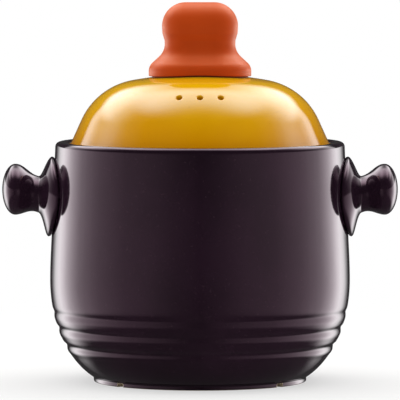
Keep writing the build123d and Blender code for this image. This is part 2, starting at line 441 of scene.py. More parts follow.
@dataclass(frozen=True)
class StonewareGlaze:
    """A fired gloss glaze, dipped over buff stoneware and left off where pieces rest.

    The glaze pools and thins a little as it melts, so its colour drifts slowly over the
    piece. Between two heights it also goes from the thick colour to the thin one. This is
    partly the glaze running down before it sets, and partly painted light: the upper part is
    drawn lighter, as if lit from above. `drift_weight` says how much the drift counts beside
    that. It has fine specks of iron, and metal oxides give the reflections on it a cast,
    `sheen`. Its skin is not quite level: reflections keep their shape but waver slightly. Its
    lower edge wavers with the clay's grain. Sizes and depths are millimetres, and each range
    says which part of a pattern counts.
    which part of a pattern counts.
    """

    name: str
    thick: str
    thin: str
    speck: str
    clay: str = "#DCCDB4"
    dark_clay: str = "#BDA98A"
    sheen: str = "#FFFFFF"
    roughness: float = 0.08
    ior: float = 1.5
    drift_size: float = 60.0
    drift_weight: float = 1.0
    run_and_top_light: tuple[float, float] = (0.0, 250.0)
    speck_size: float = 1.6
    speck_strength: float = 0.35
    skin_size: float = 14.0
    skin_depth: float = 0.05
    clay_grain: float = 0.7
    clay_depth: float = 0.12
    clay_roughness: float = 0.9
    drift_range: tuple[float, float] = (0.35, 0.65)
    speck_range: tuple[float, float] = (0.68, 0.78)
    edge_range: tuple[float, float] = (0.62, 0.78)
    edge_waver: float = 0.4

    def material(self) -> bpy.types.Material:
        """Build the material: glaze over clay, by the piece's own "bare" attribute.

        Returns:
            The material.
        """
        material, tree = new_material(self.name)
        place = add_node(tree, "ShaderNodeTexCoord").outputs["Object"]
        patterns = (
            (self.drift_size, 3.0),
            (self.speck_size, 1.0),
            (self.clay_grain, 4.0),
            (self.skin_size, 1.0),
        )
        drift, grit, grain, skin = (
            add_node(
                tree,
                "ShaderNodeTexNoise",
                {"Vector": place, "Scale": per_metre(size), "Detail": detail},
            ).outputs["Fac"]
            for size, detail in patterns
        )
        height = add_node(tree, "ShaderNodeSeparateXYZ", {0: place}).outputs["Z"]
        # Painted light: between two heights the colour goes to the lighter thin one, partly as glaze
        # running thin and partly drawn lighter towards the top as if lit from above
        run_and_top_light = tuple(METRES_PER_MM * level for level in self.run_and_top_light)
        bare = add_node(tree, "ShaderNodeAttribute", attribute_name="bare").outputs["Fac"]
        waver = {0: grain, 1: self.edge_waver}
        waver = add_node(tree, "ShaderNodeMath", waver, operation="MULTIPLY").outputs[0]
        edge = add_node(tree, "ShaderNodeMath", {0: waver, 1: bare}, operation="ADD").outputs[0]
        ranges = (
            (drift, self.drift_range, 1.0, "SMOOTHSTEP"),
            (height, run_and_top_light, 1.0, "LINEAR"),
            (grit, self.speck_range, self.speck_strength, "LINEAR"),
            (edge, self.edge_range, 1.0, "LINEAR"),
        )
        drift_share, run_and_top_light_share, speck_share, clay_share = (
            add_node(
                tree,
                "ShaderNodeMapRange",
                {"Value": value, "From Min": low, "From Max": high, "To Max": most},
                interpolation_type=blend,
            ).outputs["Result"]
            for value, (low, high), most, blend in ranges
        )
        thin_and_top_light_share = {0: self.drift_weight, 2: run_and_top_light_share, 3: drift_share}
        thin_and_top_light_share = add_node(tree, "ShaderNodeMix", thin_and_top_light_share).outputs[0]
        glaze = {0: thin_and_top_light_share, 6: linear(self.thick), 7: linear(self.thin)}
        glaze = add_node(tree, "ShaderNodeMix", glaze, data_type="RGBA").outputs[2]
        specked = {0: speck_share, 6: glaze, 7: linear(self.speck)}
        specked = add_node(tree, "ShaderNodeMix", specked, data_type="RGBA").outputs[2]
        clay = {0: grain, 6: linear(self.dark_clay), 7: linear(self.clay)}
        clay = add_node(tree, "ShaderNodeMix", clay, data_type="RGBA").outputs[2]
        colour = {0: clay_share, 6: specked, 7: clay}
        colour = add_node(tree, "ShaderNodeMix", colour, data_type="RGBA").outputs[2]
        roughness = {"Value": clay_share, "To Min": self.roughness, "To Max": self.clay_roughness}
        roughness = add_node(tree, "ShaderNodeMapRange", roughness).outputs["Result"]
        skin_bump = {"Strength": 1.0, "Distance": self.skin_depth * METRES_PER_MM, "Height": skin}
        skin_bump = add_node(tree, "ShaderNodeBump", skin_bump).outputs["Normal"]
        clay_bump = add_node(
            tree,
            "ShaderNodeBump",
            {
                "Strength": clay_share,
                "Distance": self.clay_depth * METRES_PER_MM,
                "Height": grain,
                "Normal": skin_bump,
            },
        ).outputs["Normal"]
        shader = add_node(
            tree,
            "ShaderNodeBsdfPrincipled",
            {
                "Base Color": colour,
                "Roughness": roughness,
                "Normal": clay_bump,
                "IOR": self.ior,
                "Specular Tint": linear(self.sheen),
            },
        )
        add_node(tree, "ShaderNodeOutputMaterial", {"Surface": shader.outputs["BSDF"]})
        return material


@dataclass(frozen=True)
class SatinMoulding:
    """Heat-resistant thermoset, compression moulded in a spark-eroded mould.

    The mould leaves a fine even grain about 0.6 mm apart, so the surface is satin: broad
    soft highlights of a warm cast, a paler bloom where it is seen edge-on, and no mirror
    image. Sizes and depths are millimetres.
    """

    name: str = "satin_thermoset"
    colour: str = "#C03E07"
    deep: str = "#B03102"
    sheen: str = "#FFD080"
    bloom: str = "#FFA45A"
    bloom_strength: float = 0.4
    bloom_roughness: float = 0.5
    roughness: float = 0.46
    roughness_spread: float = 0.06
    ior: float = 1.5
    gloss: float = 0.5
    grain: float = 0.6
    grain_depth: float = 0.03
    cloud: float = 22.0

    def material(self) -> bpy.types.Material:
        """Build the material from a slow colour cloud and a fine moulded grain.

        Returns:
            The material.
        """
        material, tree = new_material(self.name)
        place = add_node(tree, "ShaderNodeTexCoord").outputs["Object"]
        cloud, grain = (
            add_node(
                tree,
                "ShaderNodeTexNoise",
                {"Vector": place, "Scale": per_metre(size), "Detail": 2.0},
            ).outputs["Fac"]
            for size in (self.cloud, self.grain)
        )
        colour = {0: cloud, 6: linear(self.deep), 7: linear(self.colour)}
        colour = add_node(tree, "ShaderNodeMix", colour, data_type="RGBA").outputs[2]
        smoothest = self.roughness - self.roughness_spread
        roughest = self.roughness + self.roughness_spread
        roughness = {"Value": grain, "To Min": smoothest, "To Max": roughest}
        roughness = add_node(tree, "ShaderNodeMapRange", roughness).outputs["Result"]
        bump = {"Strength": 1.0, "Distance": self.grain_depth * METRES_PER_MM, "Height": grain}
        bump = add_node(tree, "ShaderNodeBump", bump).outputs["Normal"]
        shader = add_node(
            tree,
            "ShaderNodeBsdfPrincipled",
            {
                "Base Color": colour,
                "Roughness": roughness,
                "Normal": bump,
                "IOR": self.ior,
                "Specular IOR Level": self.gloss,
                "Specular Tint": linear(self.sheen),
                "Sheen Weight": self.bloom_strength,
                "Sheen Roughness": self.bloom_roughness,
                "Sheen Tint": linear(self.bloom),
            },
        )
        add_node(tree, "ShaderNodeOutputMaterial", {"Surface": shader.outputs["BSDF"]})
        return material


class MetalWork(Enum):
    """How a metal piece was made, which sets the direction of its fine marks."""

    TURNED = "turned on a lathe: rings round the axis"
    STAMPED = "stamped from sheet and tumbled: even, directionless marks"


@dataclass(frozen=True)
class PlainMetal:
    """A small bare metal piece, such as a screw, a washer or a threaded insert.

    Turned pieces show rings, which lie 2 pi times `ring_size` apart, about 2 mm. Stamped
    ones show a fine tumbled grain. Marks are a little paler and smoother than the rest.
    """

    name: str
    colour: str
    worn: str
    roughness: float
    work: MetalWork
    rougher: float = 0.08
    smoother: float = 0.05
    ring_size: float = 0.3
    ring_waver: float = 0.6
    grain: float = 0.5
    mark_strength: float = 0.6
    mark_depth: float = 0.02

    def material(self) -> bpy.types.Material:
        """Build the material, with rings or a grain in its colour, gloss and bump.

        Returns:
            The material.
        """
        material, tree = new_material(self.name)
        place = add_node(tree, "ShaderNodeTexCoord").outputs["Object"]
        if self.work is MetalWork.TURNED:
            scale = per_metre(self.ring_size) / WAVE_RADIANS
            mark = add_node(
                tree,
                "ShaderNodeTexWave",
                {"Vector": place, "Scale": scale, "Distortion": self.ring_waver},
                wave_type="RINGS",
                rings_direction="Z",
            ).outputs["Fac"]
        else:
            mark = {"Vector": place, "Scale": per_metre(self.grain), "Detail": 3.0}
            mark = add_node(tree, "ShaderNodeTexNoise", mark).outputs["Fac"]
        colour = {0: mark, 6: linear(self.worn), 7: linear(self.colour)}
        colour = add_node(tree, "ShaderNodeMix", colour, data_type="RGBA").outputs[2]
        most, least = self.roughness + self.rougher, self.roughness - self.smoother
        roughness = {"Value": mark, "To Min": most, "To Max": least}
        roughness = add_node(tree, "ShaderNodeMapRange", roughness).outputs["Result"]
        bump = {
            "Strength": self.mark_strength,
            "Distance": self.mark_depth * METRES_PER_MM,
            "Height": mark,
        }
        bump = add_node(tree, "ShaderNodeBump", bump).outputs["Normal"]
        shader = add_node(
            tree,
            "ShaderNodeBsdfPrincipled",
            {"Base Color": colour, "Roughness": roughness, "Normal": bump, "Metallic": 1.0},
        )
        add_node(tree, "ShaderNodeOutputMaterial", {"Surface": shader.outputs["BSDF"]})
        return material


@dataclass(frozen=True)
class SiliconeRubber:
    """Dark red moulded silicone: matt, slightly dusty, with a soft sheen at its edges.

    Its roughness goes from where it is clean to where dust lies on it.
    """

    name: str = "silicone_rubber"
    colour: str = "#6E2416"
    dusty: str = "#7E3828"
    grain: float = 0.8
    roughness: tuple[float, float] = (0.6, 0.8)
    ior: float = 1.42
    edge_sheen: float = 0.15

    def material(self) -> bpy.types.Material:
        """Build the material from a dusty grain and a fixed sheen.

        Returns:
            The material.
        """
        material, tree = new_material(self.name)
        place = add_node(tree, "ShaderNodeTexCoord").outputs["Object"]
        dust = {"Vector": place, "Scale": per_metre(self.grain), "Detail": 3.0}
        dust = add_node(tree, "ShaderNodeTexNoise", dust).outputs["Fac"]
        colour = {0: dust, 6: linear(self.colour), 7: linear(self.dusty)}
        colour = add_node(tree, "ShaderNodeMix", colour, data_type="RGBA").outputs[2]
        clean, dusty = self.roughness
        roughness = {"Value": dust, "To Min": clean, "To Max": dusty}
        roughness = add_node(tree, "ShaderNodeMapRange", roughness).outputs["Result"]
        shader = add_node(
            tree,
            "ShaderNodeBsdfPrincipled",
            {
                "Base Color": colour,
                "Roughness": roughness,
                "IOR": self.ior,
                "Sheen Weight": self.edge_sheen,
            },
        )
        add_node(tree, "ShaderNodeOutputMaterial", {"Surface": shader.outputs["BSDF"]})
        return material


AUBERGINE_GLAZE = StonewareGlaze(
    name="aubergine_gloss_glaze",
    thick="#190E17",
    thin="#21131E",
    speck="#42323A",
    sheen="#FFD3EB",
    roughness=0.08,
)
AMBER_GLAZE = StonewareGlaze(
    name="amber_gloss_glaze",
    thick="#D38B00",
    thin="#E8B208",
    speck="#A86C04",
    sheen="#C3E7FF",
    roughness=0.05,
    ior=1.6,
    drift_weight=0.2,
    # Painted light: from 158 to 202 mm up the lid the colour goes to the lighter thin yellow, as if
    # lit from above, besides the glaze running thin
    run_and_top_light=(158.0, 202.0),
    speck_strength=0.18,
)
STAINLESS_STEEL = PlainMetal(
    name="stainless_steel",
    colour="#B9B9BC",
    worn="#8E8E90",
    roughness=0.28,
    work=MetalWork.STAMPED,
)
TURNED_BRASS = PlainMetal(
    name="turned_brass",
    colour="#C7A052",
    worn="#9C7A38",
    roughness=0.3,
    work=MetalWork.TURNED,
)


# The pot


@dataclass
class Pot:
    """The thrown stoneware pot: banded wall, foot ring with notches, ledge for the lid.

    Under each groove the wall swells by `swell_share` of the groove's depth, `swell_offset`
    half widths further down. The glaze is wiped off a little further than where pieces
    rest, by the `wiped` sizes.
    """

    height: float = 160.0
    belly_radius: float = 100.1
    belly_height: float = 67.7
    curve_width: float = 47.0
    curve_sink: float = 2.3
    rim_narrowing: float = 3.7
    rim_lean: float = 2.6
    rim_outer_rounding: float = 3.2
    rim_inner_rounding: float = 2.0
    middle_shares: tuple[float, float] = (0.27, 0.31)
    wall: float = 7.0
    floor: float = 8.0
    floor_rounding: float = 14.0
    floor_cut_share: float = 0.6
    lip_width: float = 7.8
    gallery_depth: float = 6.0
    gallery_rounding: float = 0.6
    ledge_width: float = 7.5
    ledge_thickness: float = 7.0
    ledge_rounding: float = 2.0
    ledge_under_rounding: float = 1.2
    shoulder_rounding: float = 4.0
    foot_height: float = 3.0
    foot_width: float = 11.0
    foot_rounding: float = 1.0
    foot_inner_roundings: tuple[float, float] = (0.6, 0.4)
    notch_width: float = 5.0
    notch_depth: float = 2.4
    notch_angle: float = 42.0
    notch_side_shares: tuple[float, float] = (0.97, 1.03)
    notch_reach: float = 0.5
    groove_shares: tuple[float, ...] = (0.693, 0.535, 0.362)
    groove_depths: tuple[float, ...] = (0.7, 1.1, 1.3)
    groove_half_width: float = 1.9
    swell_share: float = 0.25
    swell_offset: float = 2.4
    wiped_height: float = 0.5
    wiped_beside: float = 0.3
    wiped_over_notch: float = 0.1
    wiped_ledge_start: float = 1.0
    columns: int = 264
    outside_samples: int = 400
    inside_samples: int = 60
    step: float = 1.25
    inner_step: float = 3.0
    touching: float = 0.01

    @property
    def rim_radius(self) -> float:
        """Radius of the outside at the rim."""
        return self.belly_radius - self.rim_narrowing

    @property
    def gallery_radius(self) -> float:
        """Radius of the recess that the lid's flange sits in."""
        return self.rim_radius - self.lip_width

    @property
    def mouth_radius(self) -> float:
        """Radius of the opening inside the ledge."""
        return self.gallery_radius - self.ledge_width

    @property
    def ledge_height(self) -> float:
        """Height of the ledge that carries the lid."""
        return self.height - self.gallery_depth

    @property
    def foot_radius(self) -> float:
        """Radius of the outside at the top of the foot."""
        return float(self.outside_radius(np.array(self.foot_height)))

    @property
    def foot_middle(self) -> float:
        """Radius of the middle of the foot ring."""
        return self.foot_radius - self.foot_width / 2

    def upper_radius(
        self, height: np.ndarray, inset: float, top_radius: float, top_height: float
    ) -> np.ndarray:
        """Work out the radius of the wall above the belly.

        A cubic spline in height through the belly, a middle point and the top. It starts
        upright and ends at the rim's lean, and its slope and bend are steady at the
        middle point.

        Args:
            height: heights at or above the belly.
            inset: how far the wall is set in at the belly.
            top_radius: the radius at the top.
            top_height: the height of the top.

        Returns:
            The radius at each height.
        """
        low = np.array([self.belly_radius - inset, self.belly_height])
        high = np.array([top_radius, top_height])
        middle = low + np.array(self.middle_shares) * (high - low)
        first, second = middle[1] - low[1], high[1] - middle[1]
        end_slope = -np.tan(np.radians(self.rim_lean))
        slope = 3 * ((middle[0] - low[0]) / first**2 + (high[0] - middle[0]) / second**2)
        slope = (slope - end_slope / second) / (2 / first + 2 / second)
        share = (height - low[1]) / first
        lower = hermite((low[0], middle[0]), (0, slope), first, share)
        share = (height - middle[1]) / second
        upper = hermite((middle[0], high[0]), (slope, end_slope), second, share)
        return np.where(height < middle[1], lower, upper)

    def outside_radius(self, height: np.ndarray) -> np.ndarray:
        """Work out the radius of the plain outside, without its bands.

        It is a quarter ellipse below the belly and a cubic spline above.

        Args:
            height: heights from the foot to the rim.

        Returns:
            The radius at each height.
        """
        drop = np.clip((self.belly_height - height) / (self.belly_height + self.curve_sink), 0, 1)
        lower = self.belly_radius - self.curve_width * (1 - np.sqrt(1 - drop**2))
        above = np.maximum(height, self.belly_height)
        upper = self.upper_radius(above, 0, self.rim_radius, self.height)
        return np.where(height < self.belly_height, lower, upper)

    def outside(self) -> np.ndarray:
        """Draw the outside from the foot to the rim, with its turned bands.

        Each groove is pressed in along the wall's normal by depth times
        exp(-(distance / half width) squared), and under it a soft swell of the same shape
        gives the band its rounded upper edge.

        Returns:
            Radius and height of each point.
        """
        height = np.linspace(self.foot_height, self.height, self.outside_samples)
        plain = np.stack([self.outside_radius(height), height], axis=1)
        plain = resampled(plain, self.step)
        slope = np.gradient(plain, axis=0)
        normal = np.stack([slope[:, 1], -slope[:, 0]], axis=1)
        normal /= np.linalg.norm(normal, axis=1, keepdims=True)
        walked = np.r_[0, np.cumsum(np.linalg.norm(np.diff(plain, axis=0), axis=1))]
        push = np.zeros(len(plain))
        for share, depth in zip(self.groove_shares, self.groove_depths):
            centre = np.interp(share * self.belly_height, plain[:, 1], walked)
            distance = (walked - centre) / self.groove_half_width
            push -= depth * np.exp(-(distance**2))
            push += self.swell_share * depth * np.exp(-((distance + self.swell_offset) ** 2))
        return plain + push[:, None] * normal

    def outline(self) -> np.ndarray:
        """Draw the whole outline, from the middle of the underside to the middle inside.

        The outside ends with the ledge and its bore, and the inside starts with the same
        bore, so the points that lie in it are taken out of the first of the two.

        Returns:
            Radius and height of each point.
        """
        foot_radius, raised = self.foot_radius, self.foot_height
        foot_inside = foot_radius - self.foot_width
        mouth, ledge = self.mouth_radius, self.ledge_height
        under = ledge - self.ledge_thickness
        bore_top = ledge - self.ledge_rounding
        inner_rim = self.rim_radius - self.wall
        shoulder = under - (inner_rim - mouth)
        floor = raised + self.floor
        foot = joined(
            legs(
                (0, raised),
                (foot_inside, raised),
                (foot_inside, 0),
                (foot_radius, 0),
                (foot_radius, raised),
            ),
            [*self.foot_inner_roundings, self.foot_rounding],
            self.step,
        )
        rim = legs(
            (self.rim_radius, self.height),
            (self.gallery_radius, self.height),
            (self.gallery_radius, ledge),
            (mouth, ledge),
            (mouth, under),
        )
        rim_roundings = [
            self.rim_outer_rounding,
            self.rim_inner_rounding,
            self.gallery_rounding,
            self.ledge_rounding,
        ]
        lip = joined([self.outside(), *rim], rim_roundings, self.step)
        heights = np.linspace(shoulder, self.belly_height, self.inside_samples)
        upper = self.upper_radius(heights, self.wall, inner_rim, shoulder)
        inner_drop = self.belly_height + self.curve_sink - self.wall
        floor_angle = np.arcsin((self.belly_height - floor) / inner_drop)
        angle = np.linspace(0, floor_angle, self.inside_samples)
        curve_centre = self.belly_radius - self.curve_width
        across = curve_centre + (self.curve_width - self.wall) * np.cos(angle)
        lower = np.stack([across, self.belly_height - inner_drop * np.sin(angle)], axis=1)
        wall = np.vstack([np.stack([upper, heights], axis=1), lower[1:]])
        inside = joined(
            [
                *legs((mouth, bore_top), (mouth, under), (inner_rim, shoulder)),
                wall,
                [lower[-1], (0, floor)],
            ],
            [
                self.ledge_under_rounding,
                self.shoulder_rounding,
                self.floor_rounding * self.floor_cut_share,
            ],
            self.inner_step,
        )
        in_bore = np.abs(lip[:, 0] - mouth) < self.touching
        in_bore &= lip[:, 1] > under - self.touching
        in_bore &= lip[:, 1] < bore_top + self.touching
        return np.vstack([foot[:-1], lip[~in_bore], inside])

    def angles(self) -> np.ndarray:
        """Place the columns: evenly spaced, with extra ones at the sides of the notches.

        Returns:
            The columns' angles, in radians.
        """
        even = np.linspace(0, 2 * np.pi, self.columns, endpoint=False)
        half = self.notch_width / 2 / self.foot_middle
        lean = self.notch_angle
        sides = [
            centre + side * half * share
            for centre in np.radians([lean, 180 - lean, 180 + lean, -lean])
            for side in (-1, 1)
            for share in self.notch_side_shares
        ]
        return np.sort(np.r_[even, np.mod(sides, 2 * np.pi)])

    def from_notch(self, x: np.ndarray, y: np.ndarray) -> np.ndarray:
        """Return how far round the foot ring each point is from the nearest notch's middle."""
        angle = np.arctan2(np.abs(y), np.abs(x)) - np.radians(self.notch_angle)
        return np.abs(angle) * self.foot_middle

    def bare_clay(self, place: np.ndarray) -> np.ndarray:
        """Find the bare clay: where the foot rests, in its notches, and on the ledge.

        Args:
            place: points in millimetres, one a row.

        Returns:
            1 on bare clay and 0 on glaze.
        """
        x, y, z = place.T
        across = np.hypot(x, y)
        foot = np.clip(1 - z / self.wiped_height, 0, 1)
        notch = self.from_notch(x, y) < self.notch_width / 2 + self.wiped_beside
        notch &= z < self.notch_depth + self.wiped_over_notch
        ledge = across > self.mouth_radius + self.wiped_ledge_start
        ledge &= across < self.gallery_radius - self.wiped_beside
        ledge &= np.abs(z - self.ledge_height) < self.wiped_beside
        return np.maximum(np.maximum(foot, notch), ledge)

    def build(self) -> bpy.types.Object:
        """Turn the outline and lift the foot's underside at the four drain notches.

        A point of the foot lower than the notch's roof is lifted to it where its distance
        from the notch's middle line is less than half the notch's width.

        Returns:
            The pot.
        """
        outline = self.outline()
        angles = self.angles()
        points = turned(outline, angles)
        x, y, z = points[..., 0], points[..., 1], points[..., 2]
        foot_inside = self.foot_middle - self.foot_width / 2
        lifted = self.from_notch(x, y) < self.notch_width / 2
        lifted &= (z < self.notch_depth) & (np.hypot(x, y) > foot_inside - self.notch_reach)
        points[..., 2] = np.where(lifted, self.notch_depth, z)
        piece = make_piece("pot_body_glazed", points, grid_faces(len(outline), len(angles)))
        paint_mask(piece, "bare", self.bare_clay)
        return piece


class Side(Enum):
    """Which side of the pot a handle is on, as the sign of its X."""

    LEFT = -1
    RIGHT = 1


@dataclass
class LugHandle:
    """A pressed clay lug, luted to the pot: a pad that hugs the wall, a neck and a grip."""

    pot: Pot
    side: Side
    drop: float = 36.6
    length: float = 34.1
    rise: float = 4.8
    breadth_share: float = 1.2
    pad_half_height: float = 26.6
    pad_thickness: float = 2.0
    neck_half_height: float = 12.2
    grip_half_height: float = 17.0
    flare_end_share: float = 0.293
    neck_end_share: float = 0.33
    grip_start_share: float = 0.74
    grip_end_share: float = 0.745
    rise_start_share: float = 0.05
    rise_end_share: float = 0.70
    root_depth: float = 2.5
    hug_end: float = 9.0
    columns: int = 128
    edge_rows: int = 9
    body_rows: int = 74
    tip_rows: int = 22

    def half_height(self, distance: np.ndarray) -> np.ndarray:
        """Work out half the height of the oval at a distance out from the wall.

        The pad's half height falls to the neck's along half a cosine wave, swells to the
        grip's along another, and closes at the tip as a quarter ellipse.

        Args:
            distance: distances out from the wall.

        Returns:
            The half height at each distance.
        """
        share = distance / self.length
        flare_run = self.flare_end_share * self.length - self.pad_thickness
        flare = ease((distance - self.pad_thickness) / flare_run)
        swell_run = self.grip_start_share - self.neck_end_share
        swell = ease((share - self.neck_end_share) / swell_run)
        tip = np.clip((share - self.grip_end_share) / (1 - self.grip_end_share), 0, 1)
        body = self.pad_half_height - flare * (self.pad_half_height - self.neck_half_height)
        body = body + swell * (self.grip_half_height - self.neck_half_height)
        return body * np.sqrt(1 - tip**2)

    def rows(self) -> tuple[np.ndarray, np.ndarray]:
        """Place the ovals, from the pad's back to the tip.

        Returns:
            The distances and the half heights, the pad's rolled edge first.
        """
        pad, roll = self.pad_half_height, self.pad_thickness
        turn = np.radians(np.linspace(-90, 0, self.edge_rows))
        edge_distance = roll * (1 + np.sin(turn))
        edge_half = pad - roll * (1 - np.cos(turn))
        grip_end = self.grip_end_share * self.length
        body = np.linspace(self.pad_thickness, grip_end, self.body_rows)[1:]
        sweep = np.radians(np.linspace(0, 90, self.tip_rows))[1:]
        tip = self.length * (self.grip_end_share + (1 - self.grip_end_share) * np.sin(sweep))
        out = np.r_[body, tip]
        distance = np.r_[-self.root_depth, -self.root_depth, edge_distance, out]
        half = np.r_[0, edge_half[0], edge_half, self.half_height(out)]
        return distance, half

    def build(self) -> bpy.types.Object:
        """Carry ovals out along X, the first ones bent to the pot's wall.

        A point's X is the wall's own X at that point's Y and Z, plus the distance, close
        to the wall, and the oval's flat plane further out, eased from one to the other.

        Returns:
            The handle.
        """
        distance, half = (row[:, None] for row in self.rows())
        angle = np.linspace(0, 2 * np.pi, self.columns, endpoint=False)
        base = self.pot.height - self.drop
        wall_radius = float(self.pot.outside_radius(np.array(base)))
        rise_run = self.rise_end_share - self.rise_start_share
        share = (distance / self.length - self.rise_start_share) / rise_run
        z = base + self.rise * ease(share) + half * np.sin(angle)
        y = self.breadth_share * half * np.cos(angle)
        wall_x = np.sqrt(self.pot.outside_radius(z) ** 2 - y**2)
        hug = 1 - ease((distance - self.pad_thickness) / (self.hug_end - self.pad_thickness))
        x = distance + hug * wall_x + (1 - hug) * wall_radius
        points = np.stack([self.side.value * x, y, z], axis=-1)
        name = f"{self.side.name.lower()}_handle_glazed"
        return make_piece(name, points, grid_faces(*points.shape[:2]))


# The lid


@dataclass
class Lid:
    """The domed lid: an even wall, a flange on the ledge, a skirt inside the mouth.

    The number of columns is a multiple of 60, so that one runs through the middle of each
    steam hole. `hole_step` is the degrees between holes, and `window` is how many columns
    and rows are cut open to each side of a hole.
    """

    pot: Pot
    rise: float = 46.5
    wall: float = 6.0
    crown_drop: float = 9.7
    crown_width_share: float = 0.807
    crown_rounding: float = 46.0
    dome_inset: float = 2.2
    dome_foot_margin: float = 1.2
    dome_foot_rounding: float = 0.5
    inside_margins: tuple[float, float] = (0.4, 0.8)
    flange_thickness: float = 4.5
    flange_clearance: float = 0.6
    flange_top_rounding: float = 0.9
    flange_rounding: float = 1.2
    skirt_clearance: float = 1.2
    skirt_thickness: float = 4.0
    skirt_depth: float = 9.0
    skirt_root_rounding: float = 0.5
    skirt_rounding: float = 1.2
    gusset_rounding: float = 0.7
    screw_hole_radius: float = 3.1
    screw_hole_setback: float = 0.02
    screw_hole_rounding: float = 0.2
    pad_radius: float = 11.0
    pad_depth: float = 1.0
    pad_rounding: float = 0.3
    hole_radius: float = 2.0
    hole_lip: float = 0.7
    hole_count: int = 3
    hole_step: int = 12
    hole_lean: float = 38.0
    columns: int = 300
    window: int = 5
    lip_rows: int = 6
    spread_rows: int = 6
    bore_rows: int = 5
    inside_samples: int = 800
    ring_step: float = 1.6
    wiped_height: float = 0.3
    wiped_beside: float = 0.6

    @property
    def base_height(self) -> float:
        """Height of the flange's top, where the dome starts."""
        return self.pot.ledge_height + self.flange_thickness

    @property
    def top(self) -> float:
        """Height of the dome's top."""
        return self.base_height + self.rise

    @property
    def crown(self) -> Crown:
        """Size the dome's outside.

        Returns:
            The dome, from its top down to the flange.
        """
        base_radius = self.pot.gallery_radius - self.dome_inset
        return Crown(
            top=self.top,
            corner_radius=self.crown_width_share * base_radius,
            corner_drop=self.crown_drop,
            rounding=self.crown_rounding,
            foot_radius=base_radius,
            foot_height=self.base_height,
        )

    @property
    def skirt_radius(self) -> float:
        """Radius of the skirt's outside."""
        return self.pot.mouth_radius - self.skirt_clearance

    def dome_rows(self) -> tuple[np.ndarray, int]:
        """Place the dome's rows.

        Their spacing equals a column's width at the steam holes, so that their windows
        are square, and one row runs through the middles of the holes.

        Returns:
            Lengths along the dome at which its rows lie, and the number of the row that
            runs through the holes.
        """
        crown = self.crown
        middle = crown.length_at_lean(np.radians(self.hole_lean))
        spacing = crown.at(middle)[0] * 2 * np.pi / self.columns
        before = int((middle - self.screw_hole_radius) / spacing)
        after = int((crown.full_length - self.dome_foot_margin - middle) / spacing)
        return middle + spacing * np.arange(-before, after + 1), before

    def outline(self) -> tuple[np.ndarray, int, int]:
        """Draw the closed outline, from the screw hole out, down and back inside.

        Returns:
            The outline, and the numbers of the outer and inner rows that run through the
            steam holes.
        """
        crown = self.crown
        lengths, middle = self.dome_rows()
        outer = crown.at(lengths)
        inner = crown.at(lengths, self.wall)
        base, ledge = self.base_height, self.pot.ledge_height
        flange = self.pot.gallery_radius - self.flange_clearance
        skirt = self.skirt_radius
        skirt_inside = skirt - self.skirt_thickness
        bottom = ledge - self.skirt_depth
        reach = crown.at(np.linspace(0, crown.full_length, self.inside_samples), self.wall)
        gusset, pad_side = np.interp((skirt_inside, self.pad_radius), reach[:, 0], reach[:, 1])
        near_pad, near_skirt = self.inside_margins
        kept = inner[:, 0] < skirt_inside - near_skirt
        kept &= inner[:, 0] > self.pad_radius + near_pad
        inner_rows = np.flatnonzero(kept)[::-1]
        ring = joined(
            legs(
                outer[-1],
                (crown.foot_radius, base),
                (flange, base),
                (flange, ledge),
                (skirt, ledge),
                (skirt, bottom),
                (skirt_inside, bottom),
                (skirt_inside, gusset),
                inner[inner_rows[0]],
            ),
            [
                self.dome_foot_rounding,
                self.flange_top_rounding,
                self.flange_rounding,
                self.skirt_root_rounding,
                self.skirt_rounding,
                self.skirt_rounding,
                self.gusset_rounding,
            ],
            self.ring_step,
        )
        pad_face = self.top - self.wall - self.pad_depth
        hole_top = self.top - self.screw_hole_setback
        pad = joined(
            legs(
                inner[inner_rows[-1]],
                (self.pad_radius, pad_side),
                (self.pad_radius, pad_face),
                (self.screw_hole_radius, pad_face),
                (self.screw_hole_radius, hole_top),
                outer[0],
            ),
            [self.pad_rounding] * 2 + [self.screw_hole_rounding] * 2,
            self.ring_step,
        )
        whole = np.vstack([outer, ring[1:-1], inner[inner_rows], pad[1:-1]])
        inner_start = len(outer) + len(ring) - 2
        inner_middle = inner_start + int(np.flatnonzero(inner_rows == middle)[0])
        return whole, middle, inner_middle

    def vent(
        self, place: int, rows: tuple[int, int], first_new: int
    ) -> tuple[np.ndarray, np.ndarray]:
        """Build one steam hole, from its outer window to its inner one.

        Around the hole's middle a point has a distance and a bearing. Rings run from the
        square window in to the hole's rounded lip, through the wall, and out to the window
        inside. Each ring's points are placed on the dome by length and angle, and then
        sunk under it along the normal.

        Args:
            place: the column that runs through the hole's middle.
            rows: the outer and inner rows through the hole's middle.
            first_new: the number that the first new point gets.

        Returns:
            The new points, and the faces that join them to the windows.
        """
        half = self.window
        side = np.arange(-half, half)
        along = np.r_[side, np.full(2 * half, half), -side, np.full(2 * half, -half)]
        across = np.r_[np.full(2 * half, -half), side, np.full(2 * half, half), -side]
        lengths, middle = self.dome_rows()
        spacing = lengths[1] - lengths[0]
        square = np.stack([along, across], axis=1) * spacing
        bearing = square / np.linalg.norm(square, axis=1, keepdims=True)
        lip, radius = self.hole_lip, self.hole_radius
        turn = np.radians(np.linspace(0, 90, self.lip_rows))
        spread = np.linspace(1, 0, self.spread_rows)[1:-1]
        bore = np.linspace(lip, self.wall - lip, self.bore_rows)[1:-1]
        mouth = [(radius + lip * (1 - np.sin(a)), lip * (1 - np.cos(a))) for a in turn]
        rings = [(share, radius + lip, 0.0) for share in spread]
        rings += [(0.0, reach, depth) for reach, depth in mouth]
        rings += [(0.0, radius, depth) for depth in bore]
        rings += [(0.0, reach, self.wall - depth) for reach, depth in mouth[::-1]]
        rings += [(share, radius + lip, self.wall) for share in spread[::-1]]
        share, reach, depth = (np.array(column)[:, None, None] for column in zip(*rings))
        offset = share * square + (1 - share) * reach * bearing
        crown = self.crown
        middle_radius = crown.at(lengths[middle])[0]
